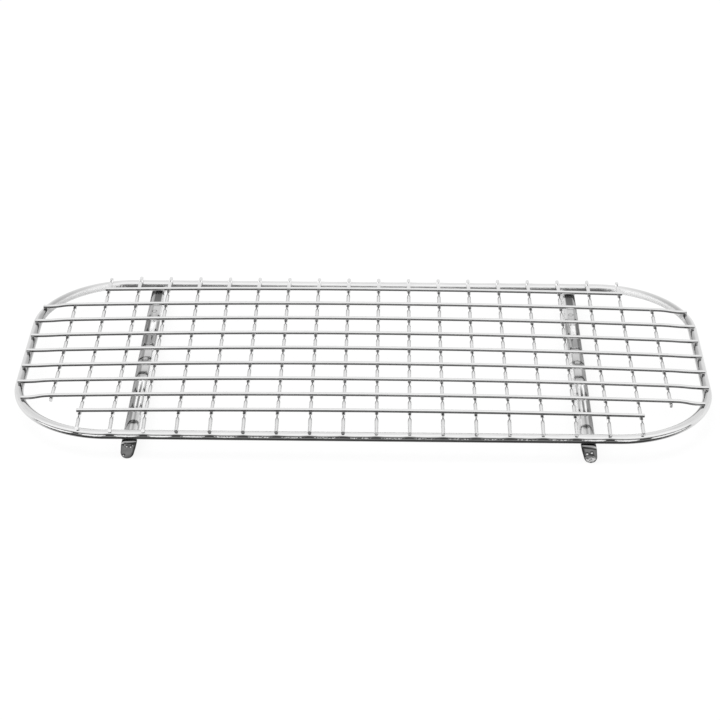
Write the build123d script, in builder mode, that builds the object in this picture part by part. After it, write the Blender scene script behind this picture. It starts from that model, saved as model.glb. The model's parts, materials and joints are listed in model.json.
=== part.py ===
from build123d import *
import os
from math import atan, cos, degrees, hypot, radians, sin, sqrt, tan

# Footed wire cooling rack, sized for a third-size pan.
# A heavy rod rim carries a slightly domed mesh of thin wires, and two folded
# sheet straps under the rim form the four feet.
# Frame: +X along the long side, +Y towards the back, +Z up.
# Origin: middle of the footprint, on the plane that the four feet stand on.
# All lengths in millimetres, angles in degrees.

# ---- rim -----------------------------------------------------------------
rim_d = 3.6            # rod diameter
rim_half_x = 133.6     # centre line, half length
rim_half_y = 61.65     # centre line, half width
rim_corner_r = 37.1    # centre line, corner radius
rim_z = 9.25           # height of the centre line

# ---- mesh ----------------------------------------------------------------
wire_d = 1.5
pitch = 12.5           # square mesh, centre to centre
long_count = 9         # wires along X, on top
cross_count = 20       # wires along Y, underneath
mesh_dx = -0.65        # the mesh sits slightly off the rim's centre
mesh_dy = -1.60
weld_wire = 0.04       # set-down where two thin wires are welded
weld_rim = 0.03        # set-down where a thin wire is welded on the rim

crown = 1.58           # rise of the mesh over its edge, in the middle
crown_half_x = 106.3   # where the crown has died out along X
edge_y = 50.0          # distance from the middle where the next two values hold
crown_edge_loss = 0.30 # share of the rise lost towards the front and back
curl = 0.95            # upward curl of the mesh, over its long middle line
hang = 0.50            # the mesh hangs this much along its long middle line

bend_x = 120.0         # long wires start to bend down to the rim here
bend_y = 52.2          # and cross wires here
seat_run = 0.6         # wires lie level on the rim from this far inside it
cross_front_over = 1.70   # wire ends, past the rim's centre line
cross_back_over = 1.00
long_over = 0.55
edge_wire_over = 1.20  # first and last long wire, past the cross wire they end on
short_wire_over = 1.50 # two short cross wires, past the long wire they end on

cross_x = [(i - (cross_count - 1) / 2) * pitch + mesh_dx for i in range(cross_count)]
long_y = [-(i - (long_count - 1) / 2) * pitch + mesh_dy for i in range(long_count)]  # from the back
on_rim = rim_z + rim_d / 2 + wire_d / 2 - weld_rim  # centre of a wire lying on the rim
stack = wire_d - weld_wire                          # long wire centres over cross wire centres

# ---- leg straps ----------------------------------------------------------
strap_t = 0.8          # sheet thickness
strap_w = 5.8
strap_seat = 0.002     # strap pressed this far against the rim's underside
# Name, x, and side: +1 where the feet toe towards -X, -1 towards +X.
straps = (("leg_strap_left", -87.2, 1), ("leg_strap_right", 85.2, -1))

fold_y = 61.6          # the fold starts here, under the rim
fold_r = 1.4           # fold radius at mid thickness
fold_angle = 88.0      # from the flat strap down to the foot
fold_skew = 12.5       # fold line turned in plan, so the feet toe outwards
fold_sections = 10     # sections lofted through the fold
foot_clear = 0.02      # the foot's tapered sides start this far past the fold
foot_tip_w = 5.2       # foot width where its round tip begins
foot_flat = 0.12       # depth of the flat on the lowest point of the tip

groove_r = 2.9         # radius of the beads and pockets rolled into the strap
# y of the two round ends on the back half, and depth.
grooves = (
    ((14.2, 44.6), 0.35),  # long stiffening bead
    ((49.0, 57.4), 0.42),  # deeper pocket next to the foot
)
ridge_cut = 0.1        # ridges are trimmed this far below mid thickness

strap_top = rim_z - rim_d / 2 + strap_seat
strap_mid = strap_top - strap_t / 2
skew = radians(fold_skew)
full_fold = radians(fold_angle)


def export(part, name):
    part.label = name
    export_step(part, f"parts/{name}.step")


def make_rod(name, path, section, diameter):
    """Round rod swept along path from the section plane."""
    with BuildPart() as rod:
        with BuildSketch(section):
            Circle(diameter / 2)
        sweep(path=path)
    export(rod.part, name)


# ---- rim: one closed loop, starting in the middle of the front -----------
def make_rim():
    with BuildLine(Plane.XY.offset(rim_z)) as loop:
        front_right = Line((0, -rim_half_y), (rim_half_x - rim_corner_r, -rim_half_y))
        corner_1 = JernArc(front_right @ 1, front_right % 1, rim_corner_r, 90)
        right = Line(corner_1 @ 1, (rim_half_x, rim_half_y - rim_corner_r))
        corner_2 = JernArc(right @ 1, right % 1, rim_corner_r, 90)
        back = Line(corner_2 @ 1, (-rim_half_x + rim_corner_r, rim_half_y))
        corner_3 = JernArc(back @ 1, back % 1, rim_corner_r, 90)
        left = Line(corner_3 @ 1, (-rim_half_x, -rim_half_y + rim_corner_r))
        corner_4 = JernArc(left @ 1, left % 1, rim_corner_r, 90)
        Line(corner_4 @ 1, (0, -rim_half_y))
    section = Plane(origin=(0, -rim_half_y, rim_z), x_dir=(0, 1, 0), z_dir=(1, 0, 0))
    make_rod("rim", loop.wires()[0], section, rim_d)


# ---- mesh wires ----------------------------------------------------------
def crown_along_x(x):
    """Rise of the dome's middle at this x. Below zero past crown_half_x."""
    return crown * (1 - (x / crown_half_x) ** 2)


def crown_along_y(y):
    """Share of the dome's rise that is left at this y."""
    return 1 - crown_edge_loss * (y / edge_y) ** 2


def hang_along_y(y):
    """Extra height of the mesh at this y, the same for every x."""
    return curl * (y / edge_y) ** 2 - hang


def rim_reach(half_along, half_across, offset):
    """Distance to the rim's centre line along one axis, at an offset along the other."""
    over = abs(offset) - (half_across - rim_corner_r)
    if over <= 0:
        return half_along
    return half_along - rim_corner_r + sqrt(rim_corner_r ** 2 - over ** 2)


def shallow_arc(half_span, height, distance):
    """Departure and slope, at this distance from its middle, of an arc that
    departs by height at half_span."""
    radius = (half_span ** 2 + height ** 2) / (2 * height)
    return radius - sqrt(radius ** 2 - distance ** 2), distance / radius


def s_bend(run, drop, slope):
    """Radius, start angle and steepest angle of two equal arcs that leave at
    slope, fall by drop over run and end level."""
    start = atan(slope)
    low, high = start + 1e-6, radians(80)
    for _ in range(80):
        steep = (low + high) / 2
        ratio = (1 + cos(start) - 2 * cos(steep)) / (2 * sin(steep) - sin(start))
        if ratio < drop / run:
            low = steep
        else:
            high = steep
    return run / (2 * sin(steep) - sin(start)), start, steep


def make_wire(name, path, across):
    section = Plane(origin=path @ 0, x_dir=across, z_dir=path % 0)
    make_rod(name, path, section, wire_d)


# In the two path functions, points are (distance along the wire, z).
def free_path(plane, start, middle_z, end):
    """Single arc with free ends."""
    with BuildLine(plane) as run:
        ThreePointArc(start, (0, middle_z), end)
    return run.wires()[0]


def seated_path(plane, half, bend, middle_z, slope, start_over, end_over):
    """Shallow arc between -bend and bend, then S-bends down to level ends on
    the rim, whose centre line is at half. slope is the fall per length at bend."""
    radius, lean, steep = s_bend(half - seat_run - bend[0], bend[1] - on_rim, slope)
    seat_turn = degrees(steep)
    arc_turn = degrees(steep - lean)
    with BuildLine(plane) as run:
        seat = Line((-half - start_over, on_rim), (-half + seat_run, on_rim))
        up_1 = JernArc(seat @ 1, (1, 0), radius, seat_turn)
        up_2 = JernArc(up_1 @ 1, up_1 % 1, radius, -arc_turn)
        arc = ThreePointArc(up_2 @ 1, (0, middle_z), bend)
        down_1 = JernArc(arc @ 1, arc % 1, radius, -arc_turn)
        down_2 = JernArc(down_1 @ 1, down_1 % 1, radius, seat_turn)
        Line(down_2 @ 1, (half + end_over, on_rim))
    return run.wires()[0]


def make_long_wire(i):
    y = long_y[i]
    sag = crown * crown_along_y(y)
    top = on_rim + stack + sag + hang_along_y(y)
    plane = Plane(origin=(0, y, 0), x_dir=(1, 0, 0), z_dir=(0, -1, 0))
    if i in (0, long_count - 1):
        # The first and last stop on the outermost full cross wires.
        ends = [
            (x, top - shallow_arc(crown_half_x, sag, x)[0])
            for x in (cross_x[1] - edge_wire_over, cross_x[-2] + edge_wire_over)
        ]
        path = free_path(plane, ends[0], top, ends[1])
    else:
        half = rim_reach(rim_half_x, rim_half_y, y)
        fall, slope = shallow_arc(crown_half_x, sag, bend_x)
        bend = (bend_x, top - fall)
        path = seated_path(plane, half, bend, top, slope, long_over, long_over)
    make_wire(f"long_wire_{i + 1:02d}", path, across=(0, 1, 0))


def make_cross_wire(i):
    x = cross_x[i]
    middle = on_rim + crown_along_x(x) - hang
    rise = curl - crown_edge_loss * crown_along_x(x)
    plane = Plane(origin=(x, 0, 0), x_dir=(0, 1, 0), z_dir=(1, 0, 0))
    if i in (0, cross_count - 1):
        # The two end wires are short and hang under the long wires.
        ends = [
            (y, middle + rise * (y / edge_y) ** 2)
            for y in (long_y[-2] - short_wire_over, long_y[1] + short_wire_over)
        ]
        path = free_path(plane, ends[0], middle, ends[1])
    else:
        # The others dish, so they still climb where the bend starts.
        half = rim_reach(rim_half_y, rim_half_x, x)
        climb, slope = shallow_arc(edge_y, rise, bend_y)
        bend = (bend_y, middle + climb)
        path = seated_path(plane, half, bend, middle, -slope, cross_front_over, cross_back_over)
    make_wire(f"cross_wire_{i + 1:02d}", path, across=(1, 0, 0))


# ---- leg straps: one folded sheet strip each, with a foot at both ends ---
def fold_plane(angle, side, x0):
    """Plane across the front fold at this angle, with x along the fold line.

    The strip crosses the fold line at a slant, so its middle drifts sideways
    as it goes round.
    """
    along = Vector(cos(skew), side * sin(skew), 0)
    outward = Vector(side * sin(skew), -cos(skew), 0)
    down = Vector(0, 0, -1)
    middle = (
        Vector(x0, -fold_y, strap_mid)
        - along * (side * fold_r * angle * tan(skew))
        + outward * (fold_r * sin(angle))
        + down * (fold_r * (1 - cos(angle)))
    )
    return Plane(origin=middle, x_dir=along, z_dir=outward * cos(angle) + down * sin(angle))


def groove_places(x0):
    """Middle, length and two end centres of each bead and pocket."""
    places = []
    for half in (-1, 1):
        for (y_a, y_b), depth in grooves:
            z = strap_top + groove_r - depth
            ends = ((x0, half * y_a, z), (x0, half * y_b, z))
            places.append(((x0, half * (y_a + y_b) / 2, z), y_b - y_a, ends))
    return places


def make_leg_strap(name, x0, side):
    half_w = strap_w / 2
    slant = side * half_w * tan(skew)
    ridge_r = groove_r + strap_t

    # The foot is flat, and starts just past the slanting end of the fold.
    fold_end = fold_plane(full_fold, side, x0)
    down = fold_end.z_dir * cos(skew) - fold_end.x_dir * (side * sin(skew))
    wide = fold_end.x_dir * cos(skew) + fold_end.z_dir * (side * sin(skew))
    normal = wide.cross(down)
    foot_start = half_w * tan(skew) + foot_clear
    start = fold_end.origin + down * foot_start
    # Length of the foot's tapered sides, so that its round tip reaches just
    # below the table plane before the flat is cut.
    tip_r = foot_tip_w / 2
    tip_drop = tip_r * hypot(wide.Z, down.Z) + strap_t / 2 * abs(normal.Z)
    reach = (start.Z + foot_flat - tip_drop) / -down.Z

    with BuildPart() as strap:
        # Ridges under the beads and pockets.
        for middle, length, ends in groove_places(x0):
            with Locations(middle):
                Cylinder(ridge_r, length, rotation=(90, 0, 0))
            with Locations(*ends):
                Sphere(ridge_r)
        split(bisect_by=Plane.XY.offset(strap_mid - ridge_cut), keep=Keep.BOTTOM)

        # Flat strip between the two slanting fold lines.
        with BuildSketch(Plane.XY.offset(strap_mid)):
            with BuildLine():
                Polyline(
                    (x0 - half_w, -fold_y - slant),
                    (x0 + half_w, -fold_y + slant),
                    (x0 + half_w, fold_y - slant),
                    (x0 - half_w, fold_y + slant),
                    close=True,
                )
            make_face()
        extrude(amount=strap_t / 2, both=True)

        # Front fold.
        for step in range(fold_sections):
            with BuildSketch(fold_plane(full_fold * step / (fold_sections - 1), side, x0)):
                Rectangle(strap_w / cos(skew), strap_t)
        loft(ruled=True)

        # Front foot with its full-round tip.
        with BuildSketch(Plane(origin=start, x_dir=wide, z_dir=normal)):
            with BuildLine():
                Line((-half_w, 0), (-tip_r, reach))
                ThreePointArc((-tip_r, reach), (0, reach + tip_r), (tip_r, reach))
                Line((tip_r, reach), (half_w, 0))
                Polyline(
                    (half_w, 0),
                    (half_w, -slant - foot_start),
                    (-half_w, slant - foot_start),
                    (-half_w, 0),
                )
            make_face()
        extrude(amount=strap_t / 2, both=True)

        # The back fold and foot mirror the front ones.
        mirror(about=Plane.XZ)

        # Grooves of the beads and pockets.
        for middle, length, ends in groove_places(x0):
            with Locations(middle):
                Cylinder(groove_r, length, rotation=(90, 0, 0), mode=Mode.SUBTRACT)
            with Locations(*ends):
                Sphere(groove_r, mode=Mode.SUBTRACT)

        # Flats on the tips, level with the table.
        split(bisect_by=Plane.XY, keep=Keep.TOP)
    export(strap.part, name)


os.makedirs("parts", exist_ok=True)
make_rim()
for i in range(long_count):
    make_long_wire(i)
for i in range(cross_count):
    make_cross_wire(i)
for name, x0, side in straps:
    make_leg_strap(name, x0, side)
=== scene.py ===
"""A crowned wire mesh on a rounded-rectangle rim of heavy rod, carried by two bent leg straps.

X runs along the rim's long sides, -Y is the front and Z is up. The feet stand on the floor
at z = 0. Shapes are worked out in millimetres and turned into metres as a mesh is made.
"""
import json
import math
import random

import bmesh
import bpy
from mathutils import Matrix, Vector, noise

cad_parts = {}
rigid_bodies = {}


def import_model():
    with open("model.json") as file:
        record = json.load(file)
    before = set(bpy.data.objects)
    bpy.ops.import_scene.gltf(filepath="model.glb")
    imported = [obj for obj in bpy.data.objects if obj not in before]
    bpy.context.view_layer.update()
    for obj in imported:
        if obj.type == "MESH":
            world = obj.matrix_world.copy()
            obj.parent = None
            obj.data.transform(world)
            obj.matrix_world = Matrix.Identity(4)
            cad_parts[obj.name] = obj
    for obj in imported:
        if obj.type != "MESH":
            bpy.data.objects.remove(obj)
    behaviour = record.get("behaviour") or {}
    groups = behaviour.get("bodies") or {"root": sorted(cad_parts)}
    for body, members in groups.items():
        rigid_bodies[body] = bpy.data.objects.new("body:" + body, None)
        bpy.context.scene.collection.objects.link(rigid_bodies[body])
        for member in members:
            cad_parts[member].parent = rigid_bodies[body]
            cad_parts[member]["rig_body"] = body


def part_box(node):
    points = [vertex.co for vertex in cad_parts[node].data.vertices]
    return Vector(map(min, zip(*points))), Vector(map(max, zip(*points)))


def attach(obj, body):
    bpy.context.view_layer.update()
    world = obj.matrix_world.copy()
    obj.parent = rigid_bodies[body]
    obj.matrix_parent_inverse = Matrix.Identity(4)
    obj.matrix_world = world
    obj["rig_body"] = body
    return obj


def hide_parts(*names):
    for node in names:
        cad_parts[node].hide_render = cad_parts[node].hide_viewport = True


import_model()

MM = 0.001
random.seed(41)
bead_random = random.Random(7)

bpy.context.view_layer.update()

# ---------------------------------------------------------------------------
# Dimensions. Places and sizes come from the CAD boxes, shape constants are here.
# ---------------------------------------------------------------------------


def mm_box(node):
    lo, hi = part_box(node)
    return lo / MM, hi / MM


N_LONG, N_CROSS = 9, 20
LONG = [f"long_wire_{k + 1:02d}" for k in range(N_LONG)]
CROSS = [f"cross_wire_{i + 1:02d}" for i in range(N_CROSS)]

# Rim: RIM_X and RIM_Y are the half sizes of its centre line
rim_lo, rim_hi = mm_box("rim")
RIM_R = (rim_hi.z - rim_lo.z) / 2
RIM_Z = (rim_hi.z + rim_lo.z) / 2
RIM_X = (rim_hi.x - rim_lo.x) / 2 - RIM_R
RIM_Y = (rim_hi.y - rim_lo.y) / 2 - RIM_R
RIM_CORNER = 37.1
STRAIGHT_X = RIM_X - RIM_CORNER  # where the straight sides end
STRAIGHT_Y = RIM_Y - RIM_CORNER
RIM_SEGMENTS = 48
BUTT_WELD_X = 0.4

# Mesh wires
long_box = [mm_box(n) for n in LONG]
cross_box = [mm_box(n) for n in CROSS]
long_y = [(lo.y + hi.y) / 2 for lo, hi in long_box]
cross_x = [(lo.x + hi.x) / 2 for lo, hi in cross_box]
WIRE_R = (cross_box[5][1].x - cross_box[5][0].x) / 2
WIRE_SEGMENTS = 24
BROKEN_EDGE = 0.18            # rounding of the cut ends
ON_RIM = cross_box[5][0].z + WIRE_R  # centre height of a wire lying on the rim
PITCH = cross_x[10] - cross_x[9]
CROWN = 1.58                  # rise of the mesh in the middle
CROWN_X, CROWN_Y = 106.3, 50.0  # half spans of the crown
EDGE_LOSS = 0.30              # share of the crown lost at y = CROWN_Y
HANG = 0.50                   # cross wires hang this far below the crown line
CURL = 0.95                   # rise of a cross wire's ends over its middle
BEND_X, BEND_Y = 120.0, 52.2  # where the wires start to bend down to the rim
SEAT = 0.6                    # level stretch inside the rim's centre line
RUN_STEP = 317.0              # offset of each wire's texture along its run

# Leg straps
STRAP_T, STRAP_W = 0.8, 5.8
STRAP_EDGE = 0.26             # rounding of the sheet's edges
INNER_GAP = 0.039             # from the strip's inner edge to its CAD box
FOLD_Y, FOLD_R = 61.6, 1.4
FOLD_SKEW = math.radians(12.5)  # turn of the fold line, which sends the feet outwards
FOLD_ANGLE = math.radians(88.0)
TIP_R = 2.6
FOOT_SINK = 0.12              # depth of the foot below the floor before it is flattened

AXIS_X, AXIS_Y, AXIS_Z = Vector((1, 0, 0)), Vector((0, 1, 0)), Vector((0, 0, 1))

# ---------------------------------------------------------------------------
# Curves and look-ups
# ---------------------------------------------------------------------------


def smooth(x):
    x = min(1.0, max(0.0, x))
    return x * x * (3 - 2 * x)


def bell(x, width):
    return math.exp(-(x / width) ** 2)


def table(points, x):
    """Straight-line look-up in a list of (x, value), x rising."""
    if x <= points[0][0]:
        return points[0][1]
    for (a, value_a), (b, value_b) in zip(points, points[1:]):
        if x <= b:
            return value_a + (value_b - value_a) * (x - a) / (b - a)
    return points[-1][1]


def bisect(low, high, too_low, rounds):
    for _ in range(rounds):
        middle = (low + high) / 2
        if too_low(middle):
            low = middle
        else:
            high = middle
    return middle


def arc_radius(half_chord, rise):
    return (half_chord ** 2 + rise ** 2) / (2 * rise)


def past_straight(at, straight):
    """How far a place lies beyond the end of a straight side, into the corner."""
    return max(abs(at) - straight, 0.0)


def rim_x_at(y):
    over = past_straight(y, STRAIGHT_Y)
    return STRAIGHT_X + math.sqrt(RIM_CORNER ** 2 - over ** 2)


def rim_y_at(x):
    over = past_straight(x, STRAIGHT_X)
    return STRAIGHT_Y + math.sqrt(RIM_CORNER ** 2 - over ** 2)


def nearest_cross(x):
    return min(cross_x[1:-1], key=lambda wire_x: abs(wire_x - x))


def s_bend(run, drop, slope):
    """Two equal arcs that cover run and drop: their radius, start and steepest angle."""
    start = math.atan(slope)

    def too_flat(steep):
        fall = 1 + math.cos(start) - 2 * math.cos(steep)
        return fall / (2 * math.sin(steep) - math.sin(start)) < drop / run

    steep = bisect(start + 1e-6, math.radians(80), too_flat, 80)
    return run / (2 * math.sin(steep) - math.sin(start)), start, steep


def wire_profile(height, slope, bend, half, start, end):
    """(t, z) points of a wire, t along it: level on the rim, an S bend up, its own
    shallow arc over the middle, and the same down again."""
    edge = height(bend)
    r, lean, steep = s_bend(half - SEAT - bend, edge - ON_RIM, slope)
    right = []
    n = max(8, int(bend / 2.0))
    for j in range(n + 1):
        t = bend * j / n
        right.append((t, height(t)))
    for j in range(1, 10):
        angle = lean + (steep - lean) * j / 9
        right.append((bend + r * (math.sin(angle) - math.sin(lean)),
                      edge - r * (math.cos(lean) - math.cos(angle))))
    turn_t, turn_z = right[-1]
    for j in range(1, 10):
        angle = steep * (1 - j / 9)
        right.append((turn_t + r * (math.sin(steep) - math.sin(angle)),
                      turn_z - r * (math.cos(angle) - math.cos(steep))))
    left = [(-t, z) for t, z in reversed(right[1:])]
    return [(start, ON_RIM)] + left + right + [(end, ON_RIM)]


# ---------------------------------------------------------------------------
# Mesh helpers
# ---------------------------------------------------------------------------


def make_mesh(name, verts, faces, uvs, material, shade=None, painted_highlight=None):
    """Mesh object from mm points. shade is painted shade that darkens the metal; the second
    channel is a painted highlight that turns the metal pale and non-metallic.
    """
    mesh = bpy.data.meshes.new(name)
    mesh.from_pydata([(v[0] * MM, v[1] * MM, v[2] * MM) for v in verts], [], faces)
    if uvs is not None:
        layer = mesh.uv_layers.new(name="run")
        for poly in mesh.polygons:
            for loop, uv in zip(poly.loop_indices, uvs[poly.index]):
                layer.data[loop].uv = uv
    mesh.polygons.foreach_set("use_smooth", [True] * len(mesh.polygons))
    for channel, values, plain in (("shade", shade, 1.0), ("painted_highlight", painted_highlight, 0.0)):
        layer = mesh.attributes.new(channel, "FLOAT", "POINT")
        layer.data.foreach_set("value", values if values is not None else [plain] * len(verts))
    mesh.update()
    ob = bpy.data.objects.new(name, mesh)
    bpy.context.scene.collection.objects.link(ob)
    mesh.materials.append(material)
    return ob


def register(ob, node=None):
    if node:
        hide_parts(node)
    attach(ob, "root")


def cut_end(ring, inward):
    """Rings of a cut end with a broken edge, from the rod's side to the cap's middle."""
    centre, tangent, radius, length = ring
    rings = []
    for j in range(5):
        angle = math.pi / 2 * j / 5
        back = inward * BROKEN_EDGE * (1 - math.sin(angle))
        ring_r = radius - BROKEN_EDGE * (1 - math.cos(angle))
        rings.append((centre + tangent * back, tangent, ring_r, length + back))
    for share in (1, 0.9, 0.45):
        rings.append((centre, tangent, (radius - BROKEN_EDGE) * share, length))
    return rings


def tube(centres, side, radii, segments, closed=False, start=0.0):
    """Round rod along centres: verts, faces, uvs. side is the unit vector square to the
    plane of the centre line. UVs are (mm along the run, share of the way round)."""
    points = [Vector(c) for c in centres]
    n = len(points)
    rings = []  # (centre, tangent, radius, arc length)
    length = start
    for i, centre in enumerate(points):
        after = points[(i + 1) % n] if closed else points[min(i + 1, n - 1)]
        before = points[i - 1] if closed else points[max(i - 1, 0)]
        if i:
            length += (points[i] - points[i - 1]).length
        rings.append((centre, (after - before).normalized(), radii[i], length))
    if not closed:
        first, last = rings[0][3], rings[-1][3]
        clear = BROKEN_EDGE * 1.2
        body = [g for g in rings[1:-1] if first + clear < g[3] < last - clear]
        rings = cut_end(rings[0], 1)[::-1] + body + cut_end(rings[-1], -1)

    verts, faces, uvs = [], [], []
    m = len(rings)
    for centre, tangent, radius, _ in rings:
        up = side.cross(tangent).normalized()
        for s in range(segments):
            angle = 2 * math.pi * s / segments
            verts.append(centre + (side * math.cos(angle) + up * math.sin(angle)) * radius)
    total = length + (points[0] - points[-1]).length
    for i in range(m if closed else m - 1):
        j = (i + 1) % m
        run_i = rings[i][3]
        run_j = rings[j][3] if j else total
        for s in range(segments):
            q = (s + 1) % segments
            faces.append((i * segments + s, j * segments + s,
                          j * segments + q, i * segments + q))
            va, vb = s / segments, (s + 1) / segments
            uvs.append(((run_i, va), (run_j, va), (run_j, vb), (run_i, vb)))
    if not closed:
        for i, flip in ((0, False), (m - 1, True)):
            run = rings[i][3]
            verts.append(rings[i][0])
            hub = len(verts) - 1
            for s in range(segments):
                a = i * segments + s
                b = i * segments + (s + 1) % segments
                faces.append((hub, b, a) if flip else (hub, a, b))
                uvs.append(((run, 0.5), (run, s / segments), (run, s / segments)))
    return verts, faces, uvs


# ---------------------------------------------------------------------------
# Materials
# ---------------------------------------------------------------------------


class Graph:
    """An empty node tree and short ways to fill it. Inputs take a value or a socket."""

    def __init__(self, owner):
        owner.use_nodes = True
        self.tree = owner.node_tree
        self.tree.nodes.clear()

    def node(self, kind, inputs=None, **settings):
        node = self.tree.nodes.new(kind)
        for key, value in settings.items():
            setattr(node, key, value)
        for key, value in (inputs or {}).items():
            if isinstance(value, bpy.types.NodeSocket):
                self.tree.links.new(value, node.inputs[key])
            else:
                node.inputs[key].default_value = value
        return node

    def calc(self, operation, a, b=None):
        inputs = {0: a} if b is None else {0: a, 1: b}
        return self.node("ShaderNodeMath", inputs, operation=operation).outputs[0]

    def between(self, value, source, target, kind="LINEAR"):
        """Map the source range onto the target range."""
        inputs = {"From Min": source[0], "From Max": source[1],
                  "To Min": target[0], "To Max": target[1], "Value": value}
        node = self.node("ShaderNodeMapRange", inputs, interpolation_type=kind)
        return node.outputs["Result"]

    def multiply_colour(self, a, b):
        inputs = {"Factor": 1.0, "A": a, "B": b}
        node = self.node("ShaderNodeMix", inputs, data_type="RGBA", blend_type="MULTIPLY")
        return node.outputs["Result"]

    def ramp(self, factor, stops):
        """Colour ramp from (position, (r, g, b)) stops."""
        node = self.node("ShaderNodeValToRGB", {"Fac": factor})
        elements = node.color_ramp.elements
        while len(elements) < len(stops):
            elements.new(0.5)
        for element, (position, _) in zip(elements, stops):
            element.position = position
        for element, (_, colour) in zip(elements, stops):
            element.color = (*colour, 1)
        return node.outputs["Color"]

    def scaled(self, vector, scale):
        node = self.node("ShaderNodeMapping", {"Scale": scale, "Vector": vector})
        return node.outputs["Vector"]

    def noise(self, vector, scale, detail, **more):
        inputs = {"Vector": vector, "Scale": scale, "Detail": detail, **more}
        return self.node("ShaderNodeTexNoise", inputs).outputs["Fac"]

    def bump(self, height, strength, distance, **more):
        inputs = {"Height": height, "Strength": strength, "Distance": distance, **more}
        return self.node("ShaderNodeBump", inputs).outputs["Normal"]

    def painted(self, channel):
        return self.node("ShaderNodeAttribute", attribute_name=channel).outputs["Fac"]

    def split(self, vector):
        return self.node("ShaderNodeSeparateXYZ", {0: vector}).outputs

    def from_crossing(self, coordinate, to_mm, shift):
        """Signed distance in mm to the nearest crossing along one axis."""
        mm = self.calc("ADD", self.calc("MULTIPLY", coordinate, to_mm), PITCH / 2 + shift)
        return self.calc("SUBTRACT", self.calc("FLOORED_MODULO", mm, PITCH), PITCH / 2)


def upper_painted_shade(g, position):
    """Painted shade on the upper wire: darker underneath, next to the crossings where it lies on
    the lower ones.
    """
    x = g.calc("ABSOLUTE", g.from_crossing(g.split(position)["X"], 1000.0, -cross_x[10]))
    normal = g.node("ShaderNodeNewGeometry").outputs["Normal"]
    under = g.between(g.split(normal)["Z"], (0.15, 0.55), (1.0, 0.0))
    amount = g.calc("MULTIPLY", g.between(x, (0.6, 1.3), (0.45, 0.0)), under)
    return g.calc("SUBTRACT", 1.0, g.calc("MULTIPLY", amount, 1.0))


def lower_painted_reflection(g, position, stain):
    """Painted reflection of the upper wire on the lower wire in front of every crossing: two
    dark lines that run in from its sides, meet, and part again. Also gives the painted highlight
    on the flanks beside them."""
    axes = g.split(position)
    x = g.from_crossing(axes["X"], 1000.0, -cross_x[10])
    y = g.from_crossing(axes["Y"], -1000.0, long_y[4])  # rises towards the front
    wobble = g.calc("MULTIPLY", g.calc("SUBTRACT", stain, 0.5), 2.2)
    wavy_y = g.calc("ADD", y, wobble)
    across = g.calc("DIVIDE", g.calc("ABSOLUTE", x), WIRE_R)
    # the line's place across the wire, in wire radii: in to the middle, then out
    line_at = g.calc("ADD", g.between(wavy_y, (0.3, 2.1), (0.95, 0.06)),
                     g.between(wavy_y, (3.5, 5.4), (0.0, 0.90)))
    outside = g.calc("SUBTRACT", across, line_at)
    off = g.calc("DIVIDE", outside, 0.26)  # line width in wire radii
    line = g.calc("EXPONENT", g.calc("MULTIPLY", g.calc("MULTIPLY", off, off), -1.0))
    # strength along the wire: grows, fades, and stops behind the crossing
    amount = g.calc("MULTIPLY", g.between(y, (1.2, 3.0), (0.10, 0.86)),
                    g.between(y, (3.8, 5.6), (1.0, 0.15)))
    amount = g.calc("MULTIPLY", amount, g.between(y, (-0.6, 0.0), (0.0, 1.0)))
    painted_dark = g.calc("SUBTRACT", 1.0, g.calc("MULTIPLY", line, amount))

    outside = g.calc("SUBTRACT", across, line_at)
    flank_highlight = g.between(outside, (0.26, 0.46), (0.0, 0.95))
    flank_highlight = g.calc("MULTIPLY", flank_highlight, g.between(y, (0.3, 0.8), (0.0, 1.0)))
    flank_highlight = g.calc("MULTIPLY", flank_highlight, g.between(y, (3.6, 4.6), (1.0, 0.0)))
    return painted_dark, flank_highlight


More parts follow.
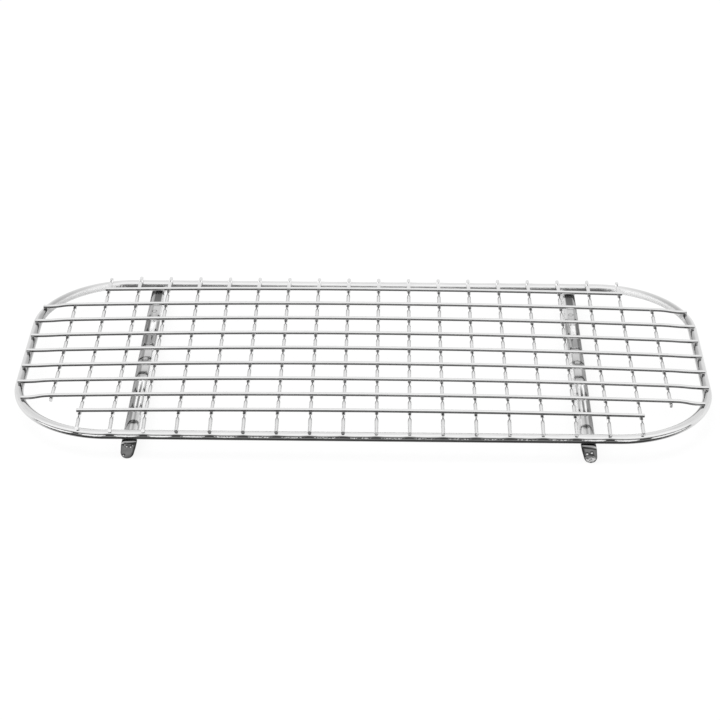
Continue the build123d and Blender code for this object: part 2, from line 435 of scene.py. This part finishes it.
def steel(name, base, roughness, line_bump, wave_bump, stain_depth=0.05, wave_scale=1.0,
          along=0.35, around=26.0, crossing=None):
    """Plated steel. along and around scale the drawing lines along and across the run;
    crossing adds painted shade on the upper wire, or a painted reflection and painted highlight
    on the lower wire, at the mesh crossings."""
    mat = bpy.data.materials.new(name)
    g = Graph(mat)
    uv = g.node("ShaderNodeUVMap", uv_map="run").outputs["UV"]
    position = g.node("ShaderNodeTexCoord").outputs["Object"]
    lines = g.noise(g.scaled(uv, (along, around, 1.0)), scale=1.0, detail=5.0, Roughness=0.62)
    waves = g.noise(position, scale=260.0 * wave_scale, detail=2.0)
    pits = g.noise(position, scale=2600.0, detail=3.0)
    stain = g.noise(position, scale=45.0, detail=4.0)

    # colour: faint stains, darker drawing lines, then the painted shade
    stained, blue = base * (1 - stain_depth), base * (1 - stain_depth * 0.96)
    colour = g.ramp(stain, [(0.3, (stained, stained, blue)), (0.62, (base, base, base))])
    colour = g.multiply_colour(colour, g.between(lines, (0.25, 0.55), (0.90, 1.0)))
    colour = g.multiply_colour(colour, g.painted("shade"))
    if crossing == "upper":
        colour = g.multiply_colour(colour, upper_painted_shade(g, position))
    elif crossing == "lower":
        painted_dark, flank_highlight = lower_painted_reflection(g, position, stain)
        colour = g.multiply_colour(colour, painted_dark)

    # painted highlight: where it is painted, the metal turns pale and non-metallic, broken up by
    # a streaky speckle
    highlight_paint = g.painted("painted_highlight")
    speckle = g.noise(g.scaled(position, (1300.0, 3000.0, 3000.0)), scale=1.0, detail=2.5)
    painted_highlight = g.calc("SUBTRACT", g.calc("MULTIPLY", highlight_paint, 1.8),
                   g.between(speckle, (0.3, 0.7), (0.0, 1.0)))
    painted_highlight = g.between(painted_highlight, (0.0, 0.55), (0.0, 1.0), "SMOOTHSTEP")
    painted_highlight = g.calc("MULTIPLY", painted_highlight, g.between(highlight_paint, (0.35, 0.75), (0.62, 1.0)))
    if crossing == "lower":
        painted_highlight = g.calc("MAXIMUM", painted_highlight, flank_highlight)

    rough_range = (max(0.02, roughness - 0.06), roughness + 0.06)
    normal = g.bump(lines, strength=line_bump, distance=0.00004)
    normal = g.bump(waves, strength=wave_bump, distance=0.00016, Normal=normal)
    normal = g.bump(pits, strength=0.12, distance=0.00001, Normal=normal)
    bsdf = g.node("ShaderNodeBsdfPrincipled", {
        "Base Color": colour,
        "Metallic": g.calc("SUBTRACT", 1.0, painted_highlight),
        "Roughness": g.between(lines, (0.3, 0.7), rough_range),
        "Normal": normal,
    })
    g.node("ShaderNodeOutputMaterial", {"Surface": bsdf.outputs["BSDF"]})
    return mat


WIRE_FINISH = dict(roughness=0.08, line_bump=0.18, wave_bump=0.10, along=0.30, around=10.0,
                   wave_scale=1.6)
WELD_FINISH = dict(base=0.34, line_bump=0.25, wave_bump=0.8, stain_depth=0.2, wave_scale=5.0)
rod_steel = steel("bright_rod", base=0.88, roughness=0.08, line_bump=0.55, wave_bump=0.30,
                  along=0.16, around=22.0)
long_steel = steel("drawn_wire", base=0.88, crossing="upper", **WIRE_FINISH)
cross_steel = steel("drawn_wire_welded", base=0.90, crossing="lower", **WIRE_FINISH)
strap_steel = steel("polished_sheet", base=0.86, roughness=0.07, line_bump=0.08,
                    wave_bump=0.25, along=0.25, around=1.3, wave_scale=1.2)
nugget_steel = steel("weld_nugget", roughness=0.35, **WELD_FINISH)
bead_steel = steel("weld_bead", roughness=0.24, **WELD_FINISH)

# ---------------------------------------------------------------------------
# Rim: one loop of heavy rod, with a dressed butt weld at the back
# ---------------------------------------------------------------------------

# (x, strength) of the painted highlight patches along the front of the rim
RIM_HIGHLIGHT_PATCHES = [
    (-120, 1.0), (-74, 1.0), (-66, 0.70), (-50, 0.55), (-20, 0.43), (70, 0.41), (84, 0.60),
    (94, 1.0), (120, 1.0),
]


def rim_centres():
    points = []

    def line(p, q, step):
        n = max(2, int((Vector(q) - Vector(p)).length / step))
        for j in range(n):
            t = j / n
            points.append((p[0] + (q[0] - p[0]) * t, p[1] + (q[1] - p[1]) * t, RIM_Z))

    def corner(x, y, start, n=46):
        for j in range(n):
            angle = start + math.pi / 2 * j / n
            points.append((x + RIM_CORNER * math.cos(angle),
                           y + RIM_CORNER * math.sin(angle), RIM_Z))

    # anticlockwise seen from above, from the middle of the front
    line((0, -RIM_Y), (STRAIGHT_X, -RIM_Y), 0.5)
    corner(STRAIGHT_X, -STRAIGHT_Y, -math.pi / 2)
    line((RIM_X, -STRAIGHT_Y), (RIM_X, STRAIGHT_Y), 2.0)
    corner(STRAIGHT_X, STRAIGHT_Y, 0)
    line((STRAIGHT_X, RIM_Y), (6, RIM_Y), 2.0)
    line((6, RIM_Y), (-6, RIM_Y), 0.25)  # finer at the butt weld
    line((-6, RIM_Y), (-STRAIGHT_X, RIM_Y), 2.0)
    corner(-STRAIGHT_X, STRAIGHT_Y, math.pi / 2)
    line((-RIM_X, STRAIGHT_Y), (-RIM_X, -STRAIGHT_Y), 2.0)
    corner(-STRAIGHT_X, -STRAIGHT_Y, math.pi)
    line((-STRAIGHT_X, -RIM_Y), (0, -RIM_Y), 0.5)
    return points


def rim_radius(x, y):
    """The butt weld is a low ridge with a shallow groove on either side."""
    off = abs(x - BUTT_WELD_X)
    if y <= 0 or off >= 4:
        return RIM_R
    return RIM_R + 0.045 * bell(off, 0.55) - 0.03 * bell(off - 1.4, 0.5)


def rim_paint(x, y, normal, outward, phi):
    """Painted shade and painted highlight of a rim point. phi is its angle round the rod in
    degrees, 0 facing out from the loop and 90 facing up."""
    facing = normal.dot(outward)
    # painted shade on the inner side of the two short sides
    shade = 1 - 0.42 * abs(outward.x) ** 2 * smooth((0.35 - facing) / 0.7)
    painted_highlight = 0.0
    if outward.y < -0.6 and y < 0:
        # front: painted highlight patches between the cross wires, painted shade underneath
        off = min(abs(abs(x - nearest_cross(x)) - PITCH / 2), PITCH)
        if abs(x) > abs(cross_x[1]):
            off = max(0.0, 5.6 - (abs(x) - abs(cross_x[1])))
        reach = math.sqrt(max(0.0, 1 - (off / 5.0) ** 2))
        if reach > 0:
            painted_highlight = table(RIM_HIGHLIGHT_PATCHES, x)
            painted_highlight *= smooth((phi - (18 - 21 * reach)) / 7) * smooth((23 - phi) / 6)
            painted_highlight *= smooth((-outward.y - 0.6) / 0.25) * smooth(reach / 0.5)
        shade *= 1 - 0.85 * smooth((-24 - phi) / 14) * smooth((-outward.y - 0.5) / 0.3)
    diagonal = min(abs(outward.x), abs(outward.y))
    if y > 0 and diagonal > 0.08:
        # back corners: painted highlight on the inside
        satin = 0.80 * smooth((0.25 - facing) / 0.3) * smooth((0.75 - normal.z) / 0.3)
        painted_highlight = max(painted_highlight, satin * smooth(diagonal / 0.35))
    return shade, painted_highlight


def rim_swell(x, y, phi):
    """A swell high on the outer side at each cross wire, and faint unevenness."""
    swell = 0.12 * bell(x - nearest_cross(x), 2.1) * bell(phi - 56, 27)
    uneven = noise.noise(Vector((x * 0.16, phi * 0.02, math.copysign(3.0, y))))
    return swell + 0.012 * uneven


def build_rim():
    centres = rim_centres()
    radii = [rim_radius(x, y) for x, y, _ in centres]
    verts, faces, uvs = tube(centres, AXIS_Z, radii, RIM_SEGMENTS, closed=True)
    paint = []
    for i, vert in enumerate(verts):
        x, y, z = centres[i // RIM_SEGMENTS]
        outward = Vector((math.copysign(past_straight(x, STRAIGHT_X), x),
                          math.copysign(past_straight(y, STRAIGHT_Y), y), 0)).normalized()
        normal = (vert - Vector((x, y, z))).normalized()
        phi = math.degrees(math.atan2(normal.z, normal.dot(outward)))
        paint.append(rim_paint(x, y, normal, outward, phi))
        if abs(x) <= STRAIGHT_X + 4:
            vert += normal * rim_swell(x, y, phi)
    shade, painted_highlight = zip(*paint)
    ob = make_mesh("rim_rod", verts, faces, uvs, rod_steel, shade=shade, painted_highlight=painted_highlight)
    register(ob, "rim")


build_rim()

# ---------------------------------------------------------------------------
# Mesh wires: the outermost ones are plain arcs, the others bend down to the rim
# ---------------------------------------------------------------------------


def evenly(lo, hi, n):
    return [lo + (hi - lo) * j / n for j in range(n + 1)]


def long_centres(k):
    lo, hi = long_box[k]
    y = long_y[k]
    top = hi.z - WIRE_R
    arc = arc_radius(CROWN_X, CROWN * (1 - EDGE_LOSS * (y / CROWN_Y) ** 2))

    def height(x):
        return top - arc + math.sqrt(arc ** 2 - x ** 2)

    if k in (0, N_LONG - 1):
        return [(x, y, height(x)) for x in evenly(lo.x, hi.x, 110)]
    points = wire_profile(height, BEND_X / arc, BEND_X, rim_x_at(y), lo.x, hi.x)
    return [(x, y, z) for x, z in points]


def cross_centres(i):
    lo, hi = cross_box[i]
    x = cross_x[i]
    crown = CROWN * (1 - (x / CROWN_X) ** 2)
    middle = ON_RIM + crown - HANG
    rise = CURL - EDGE_LOSS * crown
    if i in (0, N_CROSS - 1):
        return [(x, y, middle + rise * (y / CROWN_Y) ** 2) for y in evenly(lo.y, hi.y, 60)]
    arc = arc_radius(CROWN_Y, rise)

    def height(y):
        return middle + arc - math.sqrt(arc ** 2 - y ** 2)

    points = wire_profile(height, -BEND_Y / arc, BEND_Y, rim_y_at(x), lo.y, hi.y)
    return [(x, y, z) for y, z in points]


def long_shade(k, verts):
    """Painted shade: wires are darker low on the front side, underneath, and towards the left.
    """
    shade = []
    for i in range(0, len(verts) - 2, WIRE_SEGMENTS):
        ring = verts[i:i + WIRE_SEGMENTS]
        centre = sum(ring, Vector()) / WIRE_SEGMENTS
        shade_depth = 0.25 * smooth((-centre.x - 30) / 50)
        if k == N_LONG - 1:
            shade_depth = 0.45
        elif k in (5, 6, 7):
            shade_depth += 0.10
        for point in ring:
            # 0 faces the front, 90 faces up
            phi = math.degrees(math.atan2(point.z - centre.z, centre.y - point.y))
            shade.append(1 - shade_depth * smooth((32 - phi) / 34))
    return shade + [0.8] * 2  # the middles of the two end caps


def cross_end_highlight(i, verts):
    """Painted highlight on the cut ends: the front ones vary along the rim."""
    front = 0.9 if i <= 3 else (0.0 if i <= 9 else 0.45)
    lo, hi = cross_box[i]
    return [front if v.y < lo.y + 0.05 else (0.9 if v.y > hi.y - 0.05 else 0.0)
            for v in verts]


def wire_tube(centres, side, order):
    radii = [WIRE_R] * len(centres)
    return tube(centres, side, radii, WIRE_SEGMENTS, start=order * RUN_STEP)


long_lines = [long_centres(k) for k in range(N_LONG)]
cross_lines = [cross_centres(i) for i in range(N_CROSS)]

for k, node in enumerate(LONG):
    verts, faces, uvs = wire_tube(long_lines[k], AXIS_Y, k)
    ob = make_mesh(node + "_rod", verts, faces, uvs, long_steel, shade=long_shade(k, verts))
    register(ob, node)

for i, node in enumerate(CROSS):
    verts, faces, uvs = wire_tube(cross_lines[i], AXIS_X, i + N_LONG)
    ob = make_mesh(node + "_rod", verts, faces, uvs, cross_steel, painted_highlight=cross_end_highlight(i, verts))
    register(ob, node)

# ---------------------------------------------------------------------------
# Weld beads: the squeezed-out metal between two pieces where they touch
# ---------------------------------------------------------------------------


class WeldBeads:
    """Many beads gathered in one mesh."""

    SEGMENTS = 20
    RINGS = (0.30, 0.62, 0.86, 1.0)  # shares of the bead's radius
    OVERLAP = 0.03                   # how far a bead reaches into the rods

    def __init__(self):
        self.verts, self.faces = [], []

    def add(self, centre, axis_a, axis_b, r_top, r_bot, size):
        """A thin collar round a contact point. Its top follows the upper rod (along
        axis_a), its underside the lower rod (along axis_b), its edge is drawn in."""
        up = axis_a.cross(axis_b).normalized()
        if up.z < 0:
            up = -up
        phase = bead_random.random() * 6.28
        lobes = 0.10 + 0.08 * bead_random.random()
        top_rings, bottom_rings = [], []
        for share in self.RINGS:
            outer = share >= 0.9
            squeeze = 0.55 if outer else 1.0
            overlap = 0 if outer else self.OVERLAP
            top_ring, bottom_ring = [], []
            for s in range(self.SEGMENTS):
                angle = 2 * math.pi * s / self.SEGMENTS
                # the collar is widest in the four corners between the rods
                corners = 0.20 * abs(math.sin(2 * angle))
                rho = size * (1.0 + corners + lobes * math.sin(angle * 3 + phase)) * share
                a, b = rho * math.cos(angle), rho * math.sin(angle)
                top = r_top - math.sqrt(max(r_top ** 2 - b ** 2, 0.01))
                bottom = r_bot - math.sqrt(max(r_bot ** 2 - a ** 2, 0.01))
                middle = (top - bottom) / 2
                high = middle + (top - middle) * squeeze + overlap
                low = -bottom * squeeze + middle * (1 - squeeze) - overlap
                point = centre + axis_a * a + axis_b * b
                top_ring.append(point + up * high)
                bottom_ring.append(point + up * low)
            top_rings.append(top_ring)
            bottom_rings.append(bottom_ring)
        self.join(top_rings + bottom_rings[::-1])

    def join(self, rings):
        base, seg, n = len(self.verts), self.SEGMENTS, len(rings)
        for ring in rings:
            self.verts.extend(ring)
        for i in range(n - 1):
            here, after = base + i * seg, base + (i + 1) * seg
            for s in range(seg):
                q = (s + 1) % seg
                self.faces.append((here + s, after + s, after + q, here + q))
        self.faces.append(tuple(base + s for s in range(seg)))
        self.faces.append(tuple(base + (n - 1) * seg + s for s in reversed(range(seg))))

    def build(self, name, material, slot):
        register(make_mesh(name, self.verts, self.faces, None, material))


def z_on(points, axis, at):
    """Height of a centre line where it passes `at` on an axis, or None if it does not."""
    for p, q in zip(points, points[1:]):
        low, high = min(p[axis], q[axis]), max(p[axis], q[axis])
        if low - 1e-6 <= at <= high + 1e-6 and q[axis] != p[axis]:
            t = (at - p[axis]) / (q[axis] - p[axis])
            return p[2] + (q[2] - p[2]) * t
    return None


def build_mesh_welds():
    beads = WeldBeads()
    for k, y in enumerate(long_y):
        for i, x in enumerate(cross_x):
            z_long = z_on(long_lines[k], 0, x)
            z_cross = z_on(cross_lines[i], 1, y)
            if z_long is None or z_cross is None:
                continue
            centre = Vector((x, y, (z_long + z_cross) / 2))
            size = 0.42 + 0.06 * bead_random.random()
            beads.add(centre, AXIS_X, AXIS_Y, WIRE_R, WIRE_R, size)
    beads.build("mesh_weld_beads", nugget_steel, "mesh_wire")


def build_rim_welds():
    beads = WeldBeads()

    def add(x, y, wire_axis, rim_angle):
        rim_axis = Vector((math.cos(rim_angle), math.sin(rim_angle), 0))
        centre = Vector((x, y, RIM_Z + RIM_R - 0.015))
        size = 0.46 + 0.06 * bead_random.random()
        beads.add(centre, wire_axis, rim_axis, WIRE_R, RIM_R, size)

    def corner_turn(at, straight):
        return math.copysign(math.asin(past_straight(at, straight) / RIM_CORNER), at)

    for x in cross_x[1:-1]:
        for end in (-1, 1):
            add(x, end * rim_y_at(x), AXIS_Y, -corner_turn(x, STRAIGHT_X) * end)
    for y in long_y[1:-1]:
        for end in (-1, 1):
            add(end * rim_x_at(y), y, AXIS_X, math.pi / 2 + corner_turn(y, STRAIGHT_Y) * end)
    beads.build("rim_weld_beads", bead_steel, "mesh_wire")


build_mesh_welds()
build_rim_welds()

# ---------------------------------------------------------------------------
# Leg straps: a stamped, folded strip with beads, pockets and dished feet
# ---------------------------------------------------------------------------

# Painted shade and painted highlight of the strap's upper face: (y, amount), front to back
SHADE_OUTER = [
    (-56, .45), (-50, .62), (-41, .70), (-28, .66), (-16, .55), (-13, .62), (-4, .55),
    (0, .62), (9, .6), (12, .72), (21, .80), (34, .80), (36, .45), (45, .45), (48, .5), (58, .5),
]
SHADE_INNER = [
    (-18, 0), (-4, 0), (9, .05), (11, .35), (21, .45), (32, .50), (34, .2), (58, 0),
]
SHADE_MIDDLE = [
    (-54, .12), (-43, .22), (-41, 0), (-18, 0), (-15, .05), (-12, .50), (-8, .22), (-4, .12),
    (-2, .66), (1, .30), (8, .15), (9, .40), (12, .35), (15, .58), (21, .52), (22, .1),
    (34, .05), (36, .42), (40, .22), (45, .18), (47, .80), (55, .86), (59, .80),
]
SHADE_STRIPE = [(-42, .45), (-38, .78), (-22, .82), (-17, 0)]
HIGHLIGHT_MIDDLE = [
    (-44, 0), (-40, .8), (-20, .9), (-15, 1), (-13, 0), (21, 0), (23, .9), (31, .95),
    (33, 0), (35, 0),
]
HIGHLIGHT_INNER = [
    (-58, .2), (-46, .3), (-42, .9), (0, 1), (7, .9), (10, .1), (34, .1), (38, .8), (60, 1),
]


def dent(rho, depth, floor_power, rim_power):
    """Depth of a dent at rho, its distance from the middle over its radius."""
    return depth * (1 - rho ** floor_power) ** rim_power if rho < 1 else 0.0


def off_slot(across, y, start, end):
    """Distance from a line that runs along the strap from start to end."""
    return math.hypot(across, y - min(max(y, start), end))


class Strap:
    """side is 1 for the left strap and -1 for the right one.

    A place on the sheet is (across, s): across is measured over the strip, s along the
    unfolded strip from the fold, rising towards the foot. The back half mirrors the front.
    """

    def __init__(self, node, side):
        lo, hi = mm_box(node)
        self.node, self.side = node, side
        # from the inner edge of the strip, as the feet lean outwards
        inset = STRAP_W / 2 + INNER_GAP
        self.x = hi.x - inset if side > 0 else lo.x + inset
        self.fold_axis = Vector((math.cos(FOLD_SKEW), side * math.sin(FOLD_SKEW), 0))
        self.outward = Vector((side * math.sin(FOLD_SKEW), -math.cos(FOLD_SKEW), 0))
        self.base = Vector((self.x, -FOLD_Y, RIM_Z - RIM_R + 0.002 - STRAP_T / 2))
        self.fold_end = (FOLD_R * FOLD_ANGLE / math.cos(FOLD_SKEW)
                         + STRAP_W / 2 * math.tan(FOLD_SKEW))
        # centre of the round tip, set so that the foot's lowest point is FOOT_SINK down
        tip = self.tip = bisect(2.0, 14.0, lambda s: self.lowest(s) > -FOOT_SINK, 50)
        # punch marks on the front foot, (across, s); then pad depth, shift of the painted shade
        # and highlight, and strength of the painted highlight on the inner edge
        if side > 0:
            self.marks = [(-1.35, 2.25), (-0.75, 2.85), (0.75, 2.85), (1.35, 2.25),
                          (-1.35, tip + 1.2)]
            self.pad_depth, self.wear_shift, self.inner_satin = 0.10, -0.42, 1.0
        else:
            self.marks = [(-0.95, 3.9), (0.95, 3.6)]
            self.pad_depth, self.wear_shift, self.inner_satin = 0.26, 0.1, 0.6

    def folded(self, across, s, height):
        """Front-half place of a sheet point, height above the middle surface."""
        skew = self.side * math.sin(FOLD_SKEW)
        along = across * math.cos(FOLD_SKEW) - s * skew
        out = s * math.cos(FOLD_SKEW) + across * skew
        start = self.base + self.fold_axis * along
        if out <= 0:
            return start + self.outward * out + AXIS_Z * height
        angle = min(out / FOLD_R, FOLD_ANGLE)
        rest = max(out - FOLD_R * FOLD_ANGLE, 0)
        sin, cos = math.sin(angle), math.cos(angle)
        return (start + self.outward * (FOLD_R * sin + rest * cos + height * sin)
                - AXIS_Z * (FOLD_R * (1 - cos) + rest * sin - height * cos))

    def lowest(self, tip):
        angles = [math.pi * j / 48 for j in range(49)]
        return min(self.folded(TIP_R * math.cos(t), tip + TIP_R * math.sin(t), h).z
                   for t in angles for h in (-STRAP_T / 2, STRAP_T / 2))

    def half_width(self, s):
        if s <= self.fold_end:
            return STRAP_W / 2
        if s >= self.tip:
            return math.sqrt(max(TIP_R * TIP_R - (s - self.tip) ** 2, 0))
        taper = (s - self.fold_end) / (self.tip - self.fold_end)
        return STRAP_W / 2 + (TIP_R - STRAP_W / 2) * taper

    def edge_drop(self, across, s):
        """How far the rounded edge falls below the face."""
        if s < self.tip:
            inside = self.half_width(s) - abs(across)
        else:
            inside = TIP_R - math.hypot(across, s - self.tip)
        inside = max(inside, 0.0)
        if inside >= STRAP_EDGE:
            return 0.0
        return STRAP_EDGE - math.sqrt(max(STRAP_EDGE ** 2 - (STRAP_EDGE - inside) ** 2, 0))

    def form(self, across, s, back):
        """Offset of the sheet's middle surface towards its upper side."""
        y = FOLD_Y + s  # distance from the middle of the strap, unfolded
        # edges rolled down, less so where the strip is left flat
        flat = smooth(1 - abs(y) / 9.0)
        if back:
            flat = max(flat, smooth(1 - abs(y - 38.0) / 8.0))
        roll = max(abs(across) - 1.25, 0.0) / 1.65
        offset = -(0.46 - 0.26 * flat) * roll ** 2
        # long bead, round dimple in the middle, pocket next to the rim
        offset -= dent(off_slot(across, y, 14.2, 40.4) / 1.55, 0.42, 2, 1.5)
        offset -= dent(math.hypot(across, y) / 1.3, 0.22, 2, 2)
        pocket_r = 1.25 + 0.55 * smooth((y - 48.0) / 6.0)
        offset -= dent(off_slot(across, y, 49.2, 57.0) / pocket_r, 0.05, 3, 1.6)
        if not back:
            for mark_across, mark_s in self.marks:
                rho = math.hypot((across - mark_across) / 0.72, (s - mark_s) / 0.56)
                offset -= dent(rho, 0.36, 2, 2)
        # oval pad on the foot
        rho = math.hypot(across / 2.05, (s - (self.tip + 0.35)) / 2.35)
        return offset + dent(rho, self.pad_depth, 2.4, 1.3)

    def paint_foot(self, across, s):
        """Front foot: painted shade over the bend and towards its edges; the right foot also
        gets a painted highlight low down.
        """
        inside = self.half_width(s) - abs(across)
        shade = 0.42 + 0.58 * smooth((s - 1.74) / 0.22)
        shade *= 1 - 0.40 * smooth(1 - inside / 0.6)
        if self.side > 0:
            return shade, 0.0
        return shade, 0.43 * smooth((s - self.tip + 0.6) / 1.0) * smooth(inside / 0.8)

    def paint(self, across, s, back):
        """Painted shade and painted highlight of the upper face; the back foot is painted darker
        throughout.
        """
        if s > 0:
            return (0.6, 0.0) if back else self.paint_foot(across, s)
        y = (FOLD_Y + s) * (1 if back else -1)
        out = -self.side * across - self.wear_shift  # rises towards the outer edge
        outer_edge = smooth((out - 1.0) / 0.35)
        inner_edge = smooth((-out - 1.9) / 0.3)
        inner_line = smooth((-out - 1.35) / 0.3) * (1 - inner_edge)
        middle = smooth((1.7 - abs(out)) / 0.5)
        stripe = bell(out, 0.46)
        stripe_shade = table(SHADE_STRIPE, y)
        shade = 1 - (table(SHADE_OUTER, y) * outer_edge
                     * (0.75 + 0.25 * smooth((2.6 - out) / 0.8)))
        shade *= 1 - table(SHADE_INNER, y) * smooth((-out - 1.1) / 0.5)
        shade *= 1 - table(SHADE_MIDDLE, y) * middle
        shade *= 1 - stripe_shade * stripe
        if -44 < y < 8:
            shade *= 1 - 0.42 * inner_line
        satin = table(HIGHLIGHT_MIDDLE, y) * smooth((1.15 - abs(out)) / 0.3)
        if stripe_shade > 0.02:
            satin *= 1 - stripe
        return shade, max(satin, table(HIGHLIGHT_INNER, y) * inner_edge * self.inner_satin)

    def stations(self):
        """s of the cross-sections, from the middle of the strap to the tip."""
        near_fold = -1.6
        places = []
        y = 0.0
        while y < FOLD_Y + near_fold:
            places.append(y - FOLD_Y)
            y += 0.55
        s = near_fold
        while s < self.tip:
            places.append(s)
            s += 0.13
        for j in range(19):
            places.append(self.tip + TIP_R * math.sin(math.pi / 2 * j / 19))
        places.append(self.tip + TIP_R * math.sin(math.radians(88.3)))
        return sorted(set(round(place, 5) for place in places))

    def section(self, s, back, shares):
        """(point, uv, painted shade, painted highlight) round one cross-section: over the top,
        back below.
        """
        half = self.half_width(s)
        ring = []
        for face in (1, -1):
            for share in shares[::face]:
                across = share * half
                height = face * (STRAP_T / 2 - self.edge_drop(across, s))
                point = self.folded(across, s, height + self.form(across, s, back))
                point.z = max(point.z, 0.0)
                if back:
                    point.y = -point.y
                # the upper face takes the painted shade and highlight; the underside is painted
                # a little darker
                shade, painted_highlight = self.paint(across, s, back) if face > 0 else (0.9, 0.0)
                uv = ((FOLD_Y + s) * (1 if back else -1), across + (0 if face > 0 else 20))
                ring.append((point, uv, shade, painted_highlight))
        return ring

    def build(self):
        n = 34  # quads across each face
        shares = [math.sin(math.pi / 2 * (2 * j / n - 1)) for j in range(n + 1)]
        places = self.stations()
        sections = [(s, False) for s in reversed(places)] + [(s, True) for s in places[1:]]
        ring_data = [self.section(s, back, shares) for s, back in sections]
        verts, vert_uvs, shade, painted_highlight = zip(*(entry for ring in ring_data for entry in ring))
        faces, uvs = [], []
        m = 2 * (n + 1)
        for i in range(len(sections) - 1):
            for s in range(m):
                q = (s + 1) % m
                face = (i * m + s, i * m + q, (i + 1) * m + q, (i + 1) * m + s)
                faces.append(face)
                uvs.append(tuple(vert_uvs[corner] for corner in face))
        # the narrow end rings are closed by quads between their top and underside
        for i, flip in ((0, True), (len(sections) - 1, False)):
            for s in range(n):
                top, below = i * m + s, i * m + m - 1 - s
                face = (top, top + 1, below - 1, below)
                faces.append(face[::-1] if flip else face)
                uvs.append(((0, 0),) * 4)
        ob = make_mesh(self.node + "_sheet", verts, faces, uvs, strap_steel,
                       shade=shade, painted_highlight=painted_highlight)
        register(ob, self.node)


def build_strap_welds(straps):
    """Projection welds between the rim and the straps."""
    beads = WeldBeads()
    for strap in straps:
        for end in (-1, 1):
            for dx in (-2.0, 2.0):
                centre = Vector((strap.x + dx, end * RIM_Y, RIM_Z - RIM_R))
                # the large lower radius stands for the flat sheet
                beads.add(centre, AXIS_X, AXIS_Y, RIM_R, 40.0, 0.62)
    beads.build("strap_weld_beads", bead_steel, "strap")


straps = [Strap("leg_strap_left", 1), Strap("leg_strap_right", -1)]
for strap in straps:
    strap.build()
build_strap_welds(straps)


def turn_normals_outwards():
    for ob in list(bpy.context.scene.objects):
        visible_body = ob.type == "MESH" and ob.get("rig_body") and not ob.hide_render
        if visible_body and ob.name.endswith(("_rod", "_sheet", "_beads")):
            bm = bmesh.new()
            bm.from_mesh(ob.data)
            bmesh.ops.recalc_face_normals(bm, faces=bm.faces)
            bm.to_mesh(ob.data)
            bm.free()


turn_normals_outwards()

# ---------------------------------------------------------------------------
# Stage: pale floor, soft studio light, camera
# ---------------------------------------------------------------------------

# Studio brightness by angle round the X axis: 0 front, 90 straight up, +-180 back
STUDIO_STOPS = [
    (-180, 0.96), (-150, 0.96), (-125, 0.93), (-108, 0.80), (-94, 0.32), (-84, 0.06),
    (-68, 0.025), (-48, 0.04), (-36, 0.14), (-29, 0.25), (-20, 0.21), (-12, 0.07),
    (16, 0.055), (28, 0.38), (40, 0.95), (56, 1.06), (78, 1.06), (92, 0.94), (106, 0.88),
    (150, 0.90), (180, 0.96),
]
# Backdrop brightness by sideways share of the direction, 0 straight back, 1 square to it
SIDE_STOPS = [(0.0, 1.0), (0.26, 1.0), (0.38, 0.90), (0.60, 0.88), (0.80, 0.95), (1.0, 0.97)]


def build_floor():
    bpy.ops.mesh.primitive_plane_add(size=12.0, location=(0, 0, -0.00002))
    floor = bpy.context.object
    floor.name = "floor"
    mat = bpy.data.materials.new("pale_floor")
    g = Graph(mat)
    glow = g.node("ShaderNodeEmission", {"Color": (1, 1, 1, 1), "Strength": 0.99})
    diffuse = g.node("ShaderNodeBsdfDiffuse", {"Color": (0.95, 0.95, 0.95, 1)})
    diffuse_share = 0.12
    mix = g.node("ShaderNodeMixShader",
                 {"Fac": diffuse_share, 1: glow.outputs[0], 2: diffuse.outputs[0]})
    g.node("ShaderNodeOutputMaterial", {"Surface": mix.outputs[0]})
    floor.data.materials.append(mat)
    floor.visible_glossy = False


def build_world():
    """Plain white, except in reflections, which see the studio."""
    world = bpy.data.worlds.new("studio")
    bpy.context.scene.world = world
    g = Graph(world)
    axes = g.split(g.node("ShaderNodeTexCoord").outputs["Generated"])
    angle = g.calc("ARCTAN2", axes["Z"], g.calc("MULTIPLY", axes["Y"], -1.0))
    dome = g.ramp(g.between(angle, (-math.pi, math.pi), (0.0, 1.0)),
                  [((degrees + 180) / 360, (value,) * 3) for degrees, value in STUDIO_STOPS])
    # the backdrop falls off to grey at both sides
    side = g.ramp(g.calc("ABSOLUTE", axes["X"]),
                  [(position, (value,) * 3) for position, value in SIDE_STOPS])
    behind = g.between(axes["Y"], (0.0, 0.25), (0.0, 1.0), "SMOOTHSTEP")
    falloff = g.calc("MULTIPLY", g.calc("SUBTRACT", side, 1.0), behind)
    studio = g.calc("MULTIPLY", dome, g.calc("ADD", falloff, 1.0))
    glossy = g.node("ShaderNodeLightPath").outputs["Is Glossy Ray"]
    mix = g.node("ShaderNodeMix", {"Factor": glossy, "A": 1.0, "B": studio},
                 data_type="FLOAT")
    light = g.node("ShaderNodeBackground", {"Color": mix.outputs["Result"], "Strength": 1.0})
    g.node("ShaderNodeOutputWorld", {"Surface": light.outputs[0]})


def build_key_light():
    key = bpy.data.lights.new("key", "AREA")
    key.shape = "RECTANGLE"
    key.size, key.size_y = 0.9, 0.7
    key.energy = 6.0
    ob = bpy.data.objects.new("key", key)
    ob.location = (-0.25, -0.10, 0.9)
    ob.rotation_euler = (math.radians(-6), math.radians(-15), 0)
    ob.visible_glossy = False
    bpy.context.scene.collection.objects.link(ob)


def build_camera():
    cam = bpy.data.cameras.new("camera")
    cam.sensor_width = 36.0
    cam.lens = 115.355
    cam.clip_start = 0.01
    ob = bpy.data.objects.new("camera", cam)
    backward = Vector((0.011289, -0.874037, 0.485730)).normalized()
    up = backward.cross(Vector((0.999892, 0.014441, 0.002746))).normalized()
    right = up.cross(backward).normalized()
    place = Vector((8.965129, -804.156361, 445.562433 + RIM_Z)) * MM
    rows = [(right[i], up[i], backward[i], place[i]) for i in range(3)]
    ob.matrix_world = Matrix((*rows, (0, 0, 0, 1)))
    bpy.context.scene.collection.objects.link(ob)
    bpy.context.scene.camera = ob


build_floor()
build_world()
build_key_light()
build_camera()

view = bpy.context.scene.view_settings
view.view_transform = "Standard"
view.look = "None"
